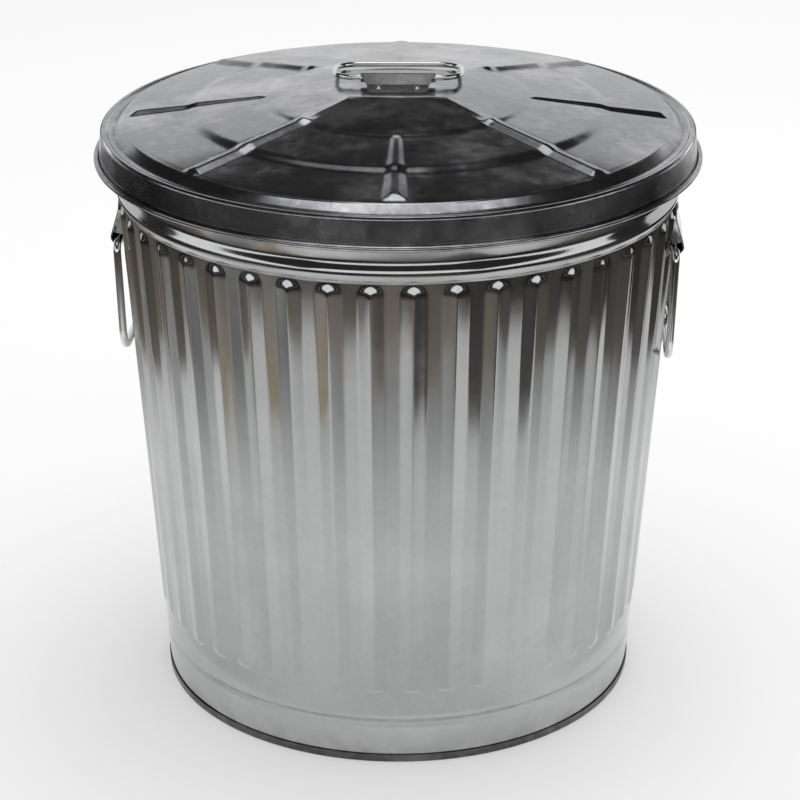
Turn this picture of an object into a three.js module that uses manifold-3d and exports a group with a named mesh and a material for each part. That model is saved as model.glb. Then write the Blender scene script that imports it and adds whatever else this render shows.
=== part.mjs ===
// A galvanized steel trash can with a lift-off lid, built as the pieces that it is made of.
//
// The can is a tapered sheet wall with pressed ribs, a beaded neck and a rim rolled round a wire.
// Its raised base pan and a folded hoop close the foot. Two riveted ears carry the side bails.
// The lid is a low pressed pyramid with a round edge and a skirt rolled round a wire, and its riveted
// bracket carries a loop of wire as the lifting handle.
//
// Millimetres, +Z up. The origin is the centre of the foot on the floor, the side bails are on
// +X and -X, and the plate of the lid's bracket faces -Y.

import * as THREE from "three";
import { mergeVertices } from "three/addons/utils/BufferGeometryUtils.js";
import Module from "manifold-3d";

// ---------------------------------------------------------------- driving sizes

// sheet, gaps and facets
const sheet = 0.6; // thickness of wall, pan, hoop and lid
const clearance = 0.3; // gap between neighbouring pieces
const roundSides = 60; // facets round each turned piece
const wireSides = 8; // facets round each wire
const rivetSides = 8; // facets round each rivet

// can wall
const canHeight = 484.5; // floor to the top of the rolled rim
const footRadius = 201.5; // outside of the plain wall at the floor
const wallTaper = 0.0625; // growth of the wall's radius with height
const wallStart = 1.6; // lower edge of the wall above the floor
const rimWireRadius = 3.0;

// ribs pressed out of the wall
const ribCount = 44;
const ribTurn = -2.09; // degrees from the handle line to the nearest rib
const ribShare = 0.65; // part of the pitch that a rib takes up
const ribDepthLow = 1.3; // height of a rib at the floor's level
const ribDepthGain = 0.0047; // growth of that height with height above the floor
const ribLow = 66; // lower end of the ribs
const ribHigh = 427; // upper end of the ribs
const ribEnd = 11; // length of the run-out at each end
const earRibHigh = 377; // upper end of the few ribs that stop below an ear
const earRibReach = 8; // degrees from the handle line within which a rib stops there

// bead under the neck and groove over the base pan
const beadMiddle = 435;
const beadHalf = 5;
const beadDepth = 4;
const grooveMiddle = 39.5;
const grooveDepth = 1;
const grooveBelow = 6.5; // length of the groove's slope below its deepest line
const grooveAbove = 2;

// base pan and foot hoop
const panHeight = 32; // middle of the pan's sheet above the floor
const panCorner = 4; // radius of the pan's edge
const panStart = 2.2; // lower edge of the pan's flange
const hoopHeight = 7;
const hoopSheet = 0.8;

// ears and side bails
const earSheet = 1.2;
const earWidth = 72; // length of the tube that the bail turns in
const earTopWidth = 54;
const earTop = 424; // upper edge of the ear's leaf
const earBend = 407; // where the leaf leaves the wall
const earTubeRadius = 6.2; // outside of the tube, which is open towards the wall
const earLip = 30; // degrees that the curl runs on past its lowest point
const bailWireRadius = 3.15;
const bailHinge = 392; // height of the bail's hinge line
const bailWidth = 94; // between the middles of the bail's arms
const bailDrop = 95; // hinge line to the middle of the bail's grip
const bailTopCorner = 9;
const bailGripCorner = 20;
const bailButt = 1; // gap between the two ends of the wire inside its tube

// rivets
const earRivetRadius = 2.4;
const earRivetSpread = 36; // between the two rivets of an ear
const earRivetHeight = 414;
const rivetHeadFactor = 1.75; // head radius over shank radius
const rivetHead = 1.5; // height of a rivet's head

// lid
const lidTurn = 2.4; // degrees that the lid is turned on the can
const curlRadius = 250; // outside of the lid's rolled lower edge
const curlMiddle = 463.5; // height of the middle of that edge
const lidWireRadius = 1.55;
const lidShoulderRadius = 243.7; // outside of the lid's upper corner
const lidSeatStart = 232.3; // where the flat that rests on the can's rim begins
const lidSeatEnd = 237.5;
const lidBead = 1.3; // rise of the lid's edge above that flat
const panelRadius = 225; // outer edge of the raised panel
const panelEdgeRise = 9; // that edge above the flat, before the steps
const bossHalf = 39; // half the side of the square boss
const bossRise = 32.9; // boss above the flat
const panelSag = 1.4; // hollow of the panel's slope at its deepest
const sagRadius = 108;
const panelSteps = [
  { start: 104, width: 8, drop: 1.3 },
  { start: 163, width: 12, drop: 1.3 },
];
const ridgeRib = { start: 99, end: 225, depth: 2.1, innerHalf: 9, outerHalf: 10, flat: 0.35 };
const facetRib = { start: 106, end: 221, depth: 2.6, innerHalf: 5, outerHalf: 12, flat: 0.15 };
const ribRunOut = 7; // length over which a lid rib rises
const panelRadii = [99, 104, 112, 163, 175, 214, 221];

// lid bracket and lid bail
const bracketSheet = 1.2;
const lidBailWireRadius = 2.25;
const lidHingeBack = -4.5; // hinge line from the lid's middle
const lidHingeRise = 6.3; // hinge line above the boss
const bracketTubeWidth = 61;
const bracketPlateWidth = 50;
const bracketFootWidth = 40; // front edge between the clipped corners
const bracketFront = -30.5; // front edge of the plate
const bracketBend = -16; // where the plate turns up towards the tube
const bracketFootRise = 0.3; // front edge of the plate above the boss
const bracketBandSlope = 0.16; // rise of the riveted band towards the tube
const bracketCornerDepth = 5;
const bracketCurl = 285; // degrees that the sheet wraps round the bail
const lidRivetRadius = 1.7;
const lidRivetSpread = 31;
const lidRivetLine = -23;
const lidBailWidth = 104.5; // between the middles of the loop's ends
const lidBailReach = 61.5; // hinge line to the middle of the loop's far bar
const lidBailCorner = 21;

// ---------------------------------------------------------------- derived places

const wallMiddle = (z) => footRadius - sheet / 2 + wallTaper * z;
const ribDepth = (z) => ribDepthLow + ribDepthGain * z;
const ribCrest = (z) => wallMiddle(z) + sheet / 2 + ribDepth(z);
const nestedGap = sheet + clearance; // between the middles of two nested sheets

const rimCurl = rimWireRadius + clearance + sheet / 2; // middle radius of the rolled rim
const rimMiddle = canHeight - rimCurl - sheet / 2;
const rimRadius = wallMiddle(rimMiddle) + rimCurl;

const earTube = earTubeRadius - earSheet / 2; // middle radius of the ear's curl
const hingeOut = wallMiddle(bailHinge) + sheet / 2 + clearance + bailWireRadius;
const earTubeMiddle = bailHinge + earTube - earSheet / 2 - bailWireRadius - clearance;
const earTubeOut = hingeOut + 0.6; // the wire turns close to the wall's side of the tube
const leafOut = (z) => wallMiddle(z) + (sheet + earSheet) / 2 + clearance;
const gripOut = ribCrest(bailHinge - bailDrop) + clearance + bailWireRadius;
const bailLean = Math.asin((hingeOut - gripOut) / bailDrop); // the grip rests on the ribs

const lidCurl = lidWireRadius + clearance + sheet / 2;
const lidCurlMiddle = curlRadius - sheet / 2 - lidCurl;
const lidSeat = canHeight + clearance + sheet / 2; // middle of the sheet on the can's rim
const bossTop = lidSeat + bossRise + sheet / 2;

const lidTube = lidBailWireRadius + clearance + bracketSheet / 2;
const lidHinge = new THREE.Vector2(lidHingeBack, bossTop + lidHingeRise);
const bandMiddle = (y) =>
  bossTop + bracketFootRise + bracketSheet / 2 + (y - bracketFront) * bracketBandSlope;
const facetSlope = (bossRise - panelEdgeRise) / (panelRadius - bossHalf);
const lidBailRest = bossTop - (lidHingeBack + lidBailReach - bossHalf) * facetSlope;
const lidBailBar = lidBailRest + clearance + lidBailWireRadius; // height of the far bar at rest
const lidBailTilt = Math.asin((lidHinge.y - lidBailBar) / lidBailReach);

// ---------------------------------------------------------------- materials

const zinc = (name, color, roughness) => {
  const material = new THREE.MeshStandardMaterial({ color, roughness, metalness: 1 });
  material.name = name;
  return material;
};
const wallZinc = zinc("wall_zinc", 0xb9bcbd, 0.25);
const lidZinc = zinc("lid_zinc", 0xaeb1b4, 0.32);
const fittingZinc = zinc("fitting_zinc", 0xc4c6c6, 0.22);
const wireZinc = zinc("wire_zinc", 0xced0cf, 0.18);

// ---------------------------------------------------------------- helpers

const radians = (angle) => THREE.MathUtils.degToRad(angle);
const fullTurn = 2 * Math.PI;
const ramp = (value, start, end) => THREE.MathUtils.clamp((value - start) / (end - start), 0, 1);
const evenAzimuths = Array.from({ length: roundSides }, (_, i) => (i / roundSides) * fullTurn);

// Turns a closed geometry's faces outwards if its signed volume is negative.
function facingOut(geometry) {
  const bare = geometry.index ? geometry.toNonIndexed() : geometry.clone();
  const place = bare.attributes.position;
  const corners = [new THREE.Vector3(), new THREE.Vector3(), new THREE.Vector3()];
  let volume = 0;
  for (let i = 0; i < place.count; i += 3) {
    corners.forEach((corner, k) => corner.fromBufferAttribute(place, i + k));
    volume += corners[0].dot(corners[1].clone().cross(corners[2]));
  }
  if (volume > 0) return geometry;
  for (let i = 0; i < place.count; i += 3) {
    const x = place.getX(i);
    const y = place.getY(i);
    const z = place.getZ(i);
    place.setXYZ(i, place.getX(i + 1), place.getY(i + 1), place.getZ(i + 1));
    place.setXYZ(i + 1, x, y, z);
  }
  bare.deleteAttribute("normal");
  return bare;
}

// One ring of a turned sheet: its vertices in order of azimuth, or the single one on the axis.
// A path point may carry its own azimuths, a shift outwards and a rise that vary round the ring.
function ringOf(point) {
  if (point.r === 0) return [{ angle: 0, at: [0, 0, point.z] }];
  return (point.azimuths ?? evenAzimuths).map((angle) => {
    const radius = point.r + (point.out ? point.out(angle) : 0);
    const x = radius * Math.cos(angle);
    const y = radius * Math.sin(angle);
    return { angle, at: [x, y, point.z + (point.rise ? point.rise(x, y) : 0)] };
  });
}

// Fills the band between two rings of any counts, always stepping to the nearer next azimuth.
function fillBand(faces, first, firstStart, second, secondStart) {
  const stepsOf = (ring) => (ring.length === 1 ? 0 : ring.length);
  const angleAt = (ring, i) => (i < ring.length ? ring[i].angle : ring[0].angle + fullTurn);
  const firstSteps = stepsOf(first);
  const secondSteps = stepsOf(second);
  let i = 0;
  let k = 0;
  while (i < firstSteps || k < secondSteps) {
    const nextFirst = i < firstSteps ? angleAt(first, i + 1) : Infinity;
    const nextSecond = k < secondSteps ? angleAt(second, k + 1) : Infinity;
    const a = firstStart + (i % first.length);
    const b = secondStart + (k % second.length);
    if (nextFirst <= nextSecond) {
      i += 1;
      faces.push(a, firstStart + (i % first.length), b);
    } else {
      k += 1;
      faces.push(a, secondStart + (k % second.length), b);
    }
  }
}

// The closed skin through a list of rings, the last one joined to the first.
function skinOf(rings) {
  const starts = [];
  let count = 0;
  for (const ring of rings) {
    starts.push(count);
    count += ring.length;
  }
  const faces = [];
  rings.forEach((ring, i) => {
    const next = (i + 1) % rings.length;
    fillBand(faces, ring, starts[i], rings[next], starts[next]);
  });
  const geometry = new THREE.BufferGeometry();
  const places = rings.flat().flatMap((vertex) => vertex.at);
  geometry.setAttribute("position", new THREE.Float32BufferAttribute(places, 3));
  geometry.setIndex(faces);
  return facingOut(geometry);
}

// Mitred normals of a line of points in a plane, pointing to the right of its direction.
function mitres(points) {
  return points.map((point, i) => {
    const before = points[Math.max(i - 1, 0)];
    const after = points[Math.min(i + 1, points.length - 1)];
    const arriving = point.clone().sub(before).normalize();
    const leaving = after.clone().sub(point).normalize();
    if (i === 0) arriving.copy(leaving);
    if (i === points.length - 1) leaving.copy(arriving);
    const along = arriving.clone().add(leaving).normalize();
    const lengthening = 1 / along.dot(leaving);
    return new THREE.Vector2(along.y, -along.x).multiplyScalar(lengthening);
  });
}

// A sheet of even thickness turned about the Z axis, from the middle line of its section.
function turnedSheet(path, thickness) {
  const normals = mitres(path.map((point) => new THREE.Vector2(point.r, point.z)));
  const shifted = (side) =>
    path.map((point, i) => {
      const move = normals[i].clone().multiplyScalar((side * thickness) / 2);
      return { ...point, r: point.r === 0 ? 0 : point.r + move.x, z: point.z + move.y };
    });
  return skinOf([...shifted(1), ...shifted(-1).reverse()].map(ringOf));
}

// Points on an arc round (x, y), from one angle to another in degrees.
function arc(x, y, radius, from, to, pieces) {
  return Array.from({ length: pieces + 1 }, (_, i) => {
    const angle = radians(from + ((to - from) * i) / pieces);
    return new THREE.Vector2(x + radius * Math.cos(angle), y + radius * Math.sin(angle));
  });
}

// Where a straight line from a point touches a circle, as an angle in degrees. The side is +1
// where the line passes the circle on its left and -1 on its right.
function touchAngle(from, centre, radius, side) {
  const away = from.clone().sub(centre);
  const offset = Math.acos(radius / away.length());
  return THREE.MathUtils.radToDeg(Math.atan2(away.y, away.x) - side * offset);
}

// The outline of a bent strip of even thickness round its middle line.
function stripShape(line, thickness) {
  const normals = mitres(line);
  const side = (sign) =>
    line.map((point, i) => point.clone().addScaledVector(normals[i], (sign * thickness) / 2));
  return new THREE.Shape([...side(1), ...side(-1).reverse()]);
}

// A flat outline made solid, centred on its own plane.
function slab(shape, depth) {
  const geometry = new THREE.ExtrudeGeometry(shape, { depth, bevelEnabled: false, steps: 1 });
  return geometry.translate(0, 0, -depth / 2);
}

// Lays a slab's own x, y and depth along three axes of the part.
function laid(geometry, xAxis, yAxis, depthAxis) {
  const axes = { x: [1, 0, 0], y: [0, 1, 0], z: [0, 0, 1] };
  const basis = [xAxis, yAxis, depthAxis].map((name) => new THREE.Vector3(...axes[name]));
  return facingOut(geometry.applyMatrix4(new THREE.Matrix4().makeBasis(...basis)));
}

// A line through knots that takes one step from each knot to the next, whatever their distance.
class KnottedLine extends THREE.Curve {
  constructor(knots) {
    super();
    this.knots = knots;
  }

  getPoint(share, target = new THREE.Vector3()) {
    const steps = this.knots.length - 1;
    const knot = Math.min(Math.floor(share * steps), steps - 1);
    return target.lerpVectors(this.knots[knot], this.knots[knot + 1], share * steps - knot);
  }

  getUtoTmapping(share) {
    return share;
  }
}

// A closed loop of wire with a butt joint in the middle of its top bar. The loop starts from the
// origin: x is across it, and y is the way to its far bar.
function wireLoop(width, reach, topCorner, farCorner) {
  const half = width / 2;
  const farSide = reach - farCorner;
  return [
    new THREE.Vector2(bailButt / 2, 0),
    ...arc(half - topCorner, topCorner, topCorner, -90, 0, 4),
    ...arc(half - farCorner, farSide, farCorner, 0, 90, 5),
    ...arc(farCorner - half, farSide, farCorner, 90, 180, 5),
    ...arc(topCorner - half, topCorner, topCorner, 180, 270, 4),
    new THREE.Vector2(-bailButt / 2, 0),
  ];
}

// Round wire along a flat loop, which a placing function lays in space.
function bentWire(loop, radius, place) {
  const section = new THREE.Shape(arc(0, 0, radius, 0, 360, wireSides).slice(0, -1));
  const knots = loop.map((at) => place(at.x, at.y));
  const extrudePath = new KnottedLine(knots);
  const steps = knots.length - 1;
  return facingOut(new THREE.ExtrudeGeometry(section, { steps, extrudePath, bevelEnabled: false }));
}

// A rivet along +Z: its head stands on the plane z = 0 and its upset end is under the grip.
function rivet(radius, grip, upset) {
  const head = radius * rivetHeadFactor;
  const profile = [
    [0, rivetHead],
    [head * 0.6, rivetHead * 0.8],
    [head, 0],
    [radius, 0],
    [radius, -grip],
    [head, -grip],
    [head * 0.7, -grip - upset],
    [0, -grip - upset],
  ];
  const turned = new THREE.LatheGeometry(profile.map((at) => new THREE.Vector2(...at)), rivetSides);
  return facingOut(turned.rotateX(Math.PI / 2));
}

// A round tool along Z for drilling a rivet's hole.
function drill(radius, depth) {
  return new THREE.CylinderGeometry(radius, radius, depth, rivetSides).rotateX(Math.PI / 2);
}

// Solids for joining and cutting.
const wasm = await Module();
wasm.setup();

function toSolid(geometry) {
  const bare = geometry.clone();
  bare.deleteAttribute("normal");
  bare.deleteAttribute("uv");
  const merged = mergeVertices(bare, 1e-4);
  return new wasm.Manifold(
    new wasm.Mesh({
      numProp: 3,
      vertProperties: new Float32Array(merged.attributes.position.array),
      triVerts: new Uint32Array(merged.index.array),
    }),
  );
}

function toGeometry(solid) {
  const mesh = solid.getMesh();
  const geometry = new THREE.BufferGeometry();
  geometry.setAttribute("position", new THREE.Float32BufferAttribute(mesh.vertProperties, 3));
  geometry.setIndex(Array.from(mesh.triVerts));
  return geometry;
}

const cutAway = (geometry, tools) =>
  toGeometry(tools.reduce((solid, tool) => solid.subtract(toSolid(tool)), toSolid(geometry)));
const common = (first, second) => toGeometry(toSolid(first).intersect(toSolid(second)));

function piece(name, geometry, material) {
  const mesh = new THREE.Mesh(geometry, material);
  mesh.name = name;
  return mesh;
}

// ---------------------------------------------------------------- can wall

// Degrees from a direction to the nearer of the two handle lines.
const fromHandles = (angle) => {
  const halfTurns = Math.round(angle / Math.PI);
  return THREE.MathUtils.radToDeg(Math.abs(angle - halfTurns * Math.PI));
};

// A ring of ribs: two feet and a crest for each rib, at a share of the full width and depth.
function ribRing(z, widthShare, depthShare) {
  const pitch = fullTurn / ribCount;
  const half = (pitch * ribShare * widthShare) / 2;
  const middles = Array.from({ length: ribCount }, (_, i) => radians(ribTurn) + i * pitch);
  const middleOf = (angle) => middles[0] + Math.round((angle - middles[0]) / pitch) * pitch;
  const stopsBelow = (angle) => z >= earRibHigh && fromHandles(middleOf(angle)) < earRibReach;
  const shareAt = (angle) => (stopsBelow(angle) ? 0 : ramp(Math.abs(angle - middleOf(angle)), half, 0));
  return {
    r: wallMiddle(z),
    z,
    azimuths: middles.flatMap((middle) => [middle - half, middle, middle + half]),
    out: (angle) => ribDepth(z) * depthShare * shareAt(angle),
  };
}

const smoothRing = (z, out = 0) => ({ r: wallMiddle(z) + out, z });

// The half-round bead, from its lower edge to its upper edge.
const beadRings = arc(0, 0, 1, -90, 90, 4).map((point) =>
  smoothRing(beadMiddle + beadHalf * point.y, beadDepth * point.x),
);

// The rim, rolled outwards and down round its wire.
const rimRings = arc(rimRadius, rimMiddle, rimCurl, 180, -90, 9).map((point) => ({
  r: point.x,
  z: point.y,
}));

// Outward-pointing holes for the ears' rivets, through anything on the handle line.
const earRivetSides = [-earRivetSpread / 2, earRivetSpread / 2];
const earDrills = (side) =>
  earRivetSides.map((y) =>
    laid(drill(earRivetRadius + clearance, 60), "z", "y", "x").translate(
      side * leafOut(earRivetHeight),
      y,
      earRivetHeight,
    ),
  );

function canWall() {
  const path = [
    smoothRing(wallStart),
    smoothRing(grooveMiddle - grooveBelow),
    smoothRing(grooveMiddle, -grooveDepth),
    smoothRing(grooveMiddle + grooveAbove),
    ribRing(ribLow, 0.35, 0),
    ribRing(ribLow + ribEnd * 0.3, 0.8, 0.55),
    ribRing(ribLow + ribEnd, 1, 1),
    ribRing(earRibHigh - ribEnd, 1, 1),
    ribRing(earRibHigh, 1, 1),
    ribRing(ribHigh - ribEnd, 1, 1),
    ribRing(ribHigh - ribEnd * 0.3, 0.8, 0.55),
    ribRing(ribHigh, 0.35, 0),
    ...beadRings,
    ...rimRings,
  ];
  const wall = cutAway(turnedSheet(path, sheet), [...earDrills(1), ...earDrills(-1)]);
  return piece("can_wall", wall, wallZinc);
}

const wireRing = (name, radius, height, wireRadius) => {
  const ring = new THREE.TorusGeometry(radius, wireRadius, 6, roundSides);
  return piece(name, ring.translate(0, 0, height), wireZinc);
};

// ---------------------------------------------------------------- base

// The raised bottom and its flange, which stands inside the wall's foot.
function basePan() {
  const inner = (z) => wallMiddle(z) - nestedGap;
  const corner = inner(panHeight - panCorner) - panCorner;
  const path = [
    { r: 0, z: panHeight },
    ...arc(corner, panHeight - panCorner, panCorner, 90, 0, 2).map((at) => ({ r: at.x, z: at.y })),
    { r: inner(panStart), z: panStart },
  ];
  return piece("base_pan", turnedSheet(path, sheet), wallZinc);
}

// The folded ring on which the can stands, round the lower edges of wall and flange.
function baseHoop() {
  const away = (sheet + hoopSheet) / 2 + clearance;
  const outside = (z) => wallMiddle(z) + away;
  const inside = (z) => wallMiddle(z) - nestedGap - away;
  const low = hoopSheet / 2;
  const bend = low + 0.5;
  const path = [
    { r: outside(hoopHeight), z: hoopHeight },
    { r: outside(bend), z: bend },
    { r: outside(low) - 0.5, z: low },
    { r: inside(low) + 0.5, z: low },
    { r: inside(bend), z: bend },
    { r: inside(hoopHeight), z: hoopHeight },
  ];
  return piece("base_hoop", turnedSheet(path, hoopSheet), fittingZinc);
}

// ---------------------------------------------------------------- ears, side bails, rivets

// The riveted leaf, which leaves the wall and curls round the bail from outside and below.
function ear(name) {
  const tube = new THREE.Vector2(earTubeOut, earTubeMiddle);
  const bend = new THREE.Vector2(leafOut(earBend), earBend);
  const start = touchAngle(bend, tube, earTube, 1);
  const line = [
    new THREE.Vector2(leafOut(earTop), earTop),
    bend,
    ...arc(tube.x, tube.y, earTube, start, -90 - earLip, 8),
  ];
  const section = laid(slab(stripShape(line, earSheet), earWidth), "x", "z", "y");
  const low = bailHinge - 2 * earTubeRadius;
  const face = new THREE.Shape([
    new THREE.Vector2(-earWidth / 2 - 1, low),
    new THREE.Vector2(earWidth / 2 + 1, low),
    new THREE.Vector2(earWidth / 2 + 1, earBend),
    new THREE.Vector2(earTopWidth / 2, earTop + 1),
    new THREE.Vector2(-earTopWidth / 2, earTop + 1),
    new THREE.Vector2(-earWidth / 2 - 1, earBend),
  ]);
  const front = laid(slab(face, 4 * footRadius), "y", "z", "x");
  return piece(name, cutAway(common(section, front), earDrills(1)), fittingZinc);
}

// The side bail hangs from its hinge line and leans in a little to the wall.
function sideBail(name) {
  const loop = wireLoop(bailWidth, bailDrop, bailTopCorner, bailGripCorner);
  const place = (across, down) => new THREE.Vector3(0, across, -down);
  const mesh = piece(name, bentWire(loop, bailWireRadius, place), wireZinc);
  mesh.position.set(hingeOut, 0, bailHinge);
  mesh.rotation.y = bailLean;
  return mesh;
}

// The shank bridges from the leaf to the inside of the wall, whose lowest place is between ribs.
function earRivet(name, y) {
  const head = earRivetRadius * rivetHeadFactor;
  const leafFace = leafOut(earRivetHeight) + earSheet / 2 + clearance;
  const wallInside = wallMiddle(earRivetHeight) - sheet / 2;
  const wallReach = Math.sqrt(wallInside ** 2 - (Math.abs(y) + head) ** 2) - clearance - 0.3;
  const body = rivet(earRivetRadius, leafFace - wallReach, rivetHead);
  const mesh = piece(name, body, fittingZinc);
  mesh.position.set(leafFace, y, earRivetHeight);
  mesh.rotation.y = Math.PI / 2;
  return mesh;
}

function sideHandle(side) {
  const handle = new THREE.Group();
  handle.add(ear(`ear_${side}`));
  handle.add(sideBail(`bail_${side}`));
  earRivetSides.forEach((y, i) => handle.add(earRivet(`ear_rivet_${side}_${i + 1}`, y)));
  return handle;
}

// ---------------------------------------------------------------- lid

// The lid's eight ribs: one along the middle of each facet and one on each ridge between facets.
const eighthTurn = Math.PI / 4;
const ribAt = (eighth) => (eighth % 2 === 0 ? facetRib : ridgeRib);

// Half the width of a lid rib at a radius.
const ribHalf = (rib, radius) =>
  THREE.MathUtils.lerp(rib.innerHalf, rib.outerHalf, ramp(radius, rib.start, rib.end));

// Height of a lid rib over its panel, for a place at a radius and a distance from its middle.
function ribRise(rib, radius, offset) {
  const inner = ramp(radius, rib.start, rib.start + ribRunOut);
  const outer = ramp(radius, rib.end, rib.end - ribRunOut);
  const half = ribHalf(rib, radius);
  return rib.depth * Math.min(inner, outer) * ramp(Math.abs(offset), half, half * rib.flat);
}

// Distance from the axis to the square boss's edge in a direction.
function bossEdge(angle) {
  const fromSide = angle - Math.round(angle / (2 * eighthTurn)) * 2 * eighthTurn;
  return bossHalf / Math.cos(fromSide);
}

// Height of the panel over the flat that rests on the can's rim. The panel runs straight from
// the square boss to its round edge, so that four ridges start at the corners of the boss.
function panelRise(x, y) {
  const radius = Math.hypot(x, y);
  const angle = Math.atan2(y, x);
  const eighth = Math.round(angle / eighthTurn);
  const offset = radius * Math.sin(angle - eighth * eighthTurn);
  const slope = THREE.MathUtils.lerp(bossRise, panelEdgeRise, ramp(radius, bossEdge(angle), panelRadius));
  const sag = panelSag * Math.min(ramp(radius, bossHalf, sagRadius), ramp(radius, panelRadius, sagRadius));
  const dropOf = (step) => step.drop * ramp(radius, step.start, step.start + step.width);
  const steps = panelSteps.reduce((sum, step) => sum + dropOf(step), 0);
  return slope - sag - steps + ribRise(ribAt(eighth), radius, offset);
}

// Azimuths of a ring of the panel: feet and top edges of each rib, and places between the ribs.
function panelAzimuths(radius) {
  const spread = (eighth, share) => Math.asin((ribHalf(ribAt(eighth), radius) * share) / radius);
  return Array.from({ length: 8 }, (_, eighth) => {
    const middle = eighth * eighthTurn;
    const foot = spread(eighth, 1);
    const edge = spread(eighth, ribAt(eighth).flat);
    const open = eighthTurn - foot - spread(eighth + 1, 1);
    const between = [1 / 3, 2 / 3].map((share) => middle + foot + open * share);
    return [middle - foot, middle - edge, middle + edge, middle + foot, ...between];
  }).flat();
}

const panelRing = (radius) => ({
  r: radius,
  z: lidSeat,
  azimuths: panelAzimuths(radius),
  rise: panelRise,
});

// The square edge of the boss, on the azimuths of a ring of its own size.
const bossRing = { ...panelRing(bossHalf), out: (angle) => bossEdge(angle) - bossHalf };

// Places the lid's bracket rivets square to the band that they hold.
const bandTilt = Math.atan(bracketBandSlope);
const lidRivetSides = [-lidRivetSpread / 2, lidRivetSpread / 2];
const onBand = (object, x, lift) => {
  const middle = new THREE.Vector3(x, lidRivetLine, bandMiddle(lidRivetLine));
  const normal = new THREE.Vector3(0, -Math.sin(bandTilt), Math.cos(bandTilt));
  object.position.copy(middle.addScaledVector(normal, lift));
  object.rotation.x = bandTilt;
  object.updateMatrix();
  return object;
};
const lidDrills = () =>
  lidRivetSides.map((x) => {
    const tool = onBand(new THREE.Object3D(), x, 0);
    return drill(lidRivetRadius + clearance, 30).applyMatrix4(tool.matrix);
  });

function lidPanel() {
  const shoulder = lidShoulderRadius - sheet / 2;
  const skirtCurl = arc(lidCurlMiddle, curlMiddle, lidCurl, 180, 468, 8);
  const path = [
    { r: 0, z: lidSeat + bossRise },
    bossRing,
    ...panelRadii.map(panelRing),
    panelRing(panelRadius),
    { r: lidSeatStart, z: lidSeat },
    { r: lidSeatEnd, z: lidSeat },
    { r: lidSeatEnd + 1.5, z: lidSeat + lidBead },
    { r: shoulder - 1.5, z: lidSeat + lidBead },
    { r: shoulder, z: lidSeat },
    ...skirtCurl.map((at) => ({ r: at.x, z: at.y })),
  ];
  return piece("lid_panel", cutAway(turnedSheet(path, sheet), lidDrills()), lidZinc);
}

// ---------------------------------------------------------------- lid bracket and bail

// A plate with a rolled tube along its back edge, bent so that its front band slopes gently.
function lidBracket() {
  const front = new THREE.Vector2(bracketFront, bandMiddle(bracketFront));
  const bend = new THREE.Vector2(bracketBend, bandMiddle(bracketBend));
  const start = touchAngle(bend, lidHinge, lidTube, 1);
  const line = [front, bend, ...arc(lidHinge.x, lidHinge.y, lidTube, start, start - bracketCurl, 9)];
  const section = laid(slab(stripShape(line, bracketSheet), bracketTubeWidth), "y", "z", "x");
  const tubeFront = lidHinge.x - lidTube;
  const tubeHalf = bracketTubeWidth / 2 + 1;
  const right = [
    new THREE.Vector2(tubeHalf, lidHinge.x + 2 * lidTube),
    new THREE.Vector2(tubeHalf, tubeFront),
    new THREE.Vector2(bracketPlateWidth / 2, bracketBend),
    new THREE.Vector2(bracketPlateWidth / 2, bracketFront + bracketCornerDepth),
    new THREE.Vector2(bracketFootWidth / 2, bracketFront - 1),
  ];
  const left = right.map((at) => new THREE.Vector2(-at.x, at.y)).reverse();
  const plan = slab(new THREE.Shape([...right, ...left]), 4 * canHeight);
  const plate = common(section, facingOut(plan));
  return piece("lid_handle_bracket", cutAway(plate, lidDrills()), fittingZinc);
}

function lidBail() {
  const loop = wireLoop(lidBailWidth, lidBailReach, lidBailCorner, lidBailCorner);
  const place = (across, back) => new THREE.Vector3(across, back, 0);
  const mesh = piece("lid_bail", bentWire(loop, lidBailWireRadius, place), wireZinc);
  mesh.position.set(0, lidHinge.x, lidHinge.y);
  mesh.rotation.x = -lidBailTilt;
  return mesh;
}

function lidRivet(name, x) {
  const head = lidRivetRadius * rivetHeadFactor;
  const underBoss = (bandMiddle(lidRivetLine) - bossTop + sheet) / Math.cos(bandTilt);
  const lift = bracketSheet / 2 + clearance;
  const grip = lift + underBoss + clearance + head * bracketBandSlope;
  return onBand(piece(name, rivet(lidRivetRadius, grip, rivetHead / 2), fittingZinc), x, lift);
}

function lid() {
  const group = new THREE.Group();
  group.add(lidPanel());
  group.add(wireRing("lid_rim_wire", lidCurlMiddle, curlMiddle, lidWireRadius));
  group.add(lidBracket());
  group.add(lidBail());
  lidRivetSides.forEach((x, i) => group.add(lidRivet(`lid_rivet_${i + 1}`, x)));
  group.rotation.z = radians(lidTurn);
  return group;
}

// ---------------------------------------------------------------- the whole can

const can = new THREE.Group();
can.add(canWall());
can.add(wireRing("rim_wire", rimRadius, rimMiddle, rimWireRadius));
can.add(basePan());
can.add(baseHoop());
can.add(sideHandle("right"));
const leftHandle = sideHandle("left");
leftHandle.rotation.z = Math.PI;
can.add(leftHandle);
can.add(lid());

export default can;
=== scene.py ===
"""The galvanized trash can as it looks: the surface of each piece, its zinc, and a plain studio.

Every surface is worked out in millimetres in the frame of the solids: +Z up, the floor at z = 0,
the side bails on +X and -X, and the plate of the lid's bracket towards -Y.
"""

import math

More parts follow.
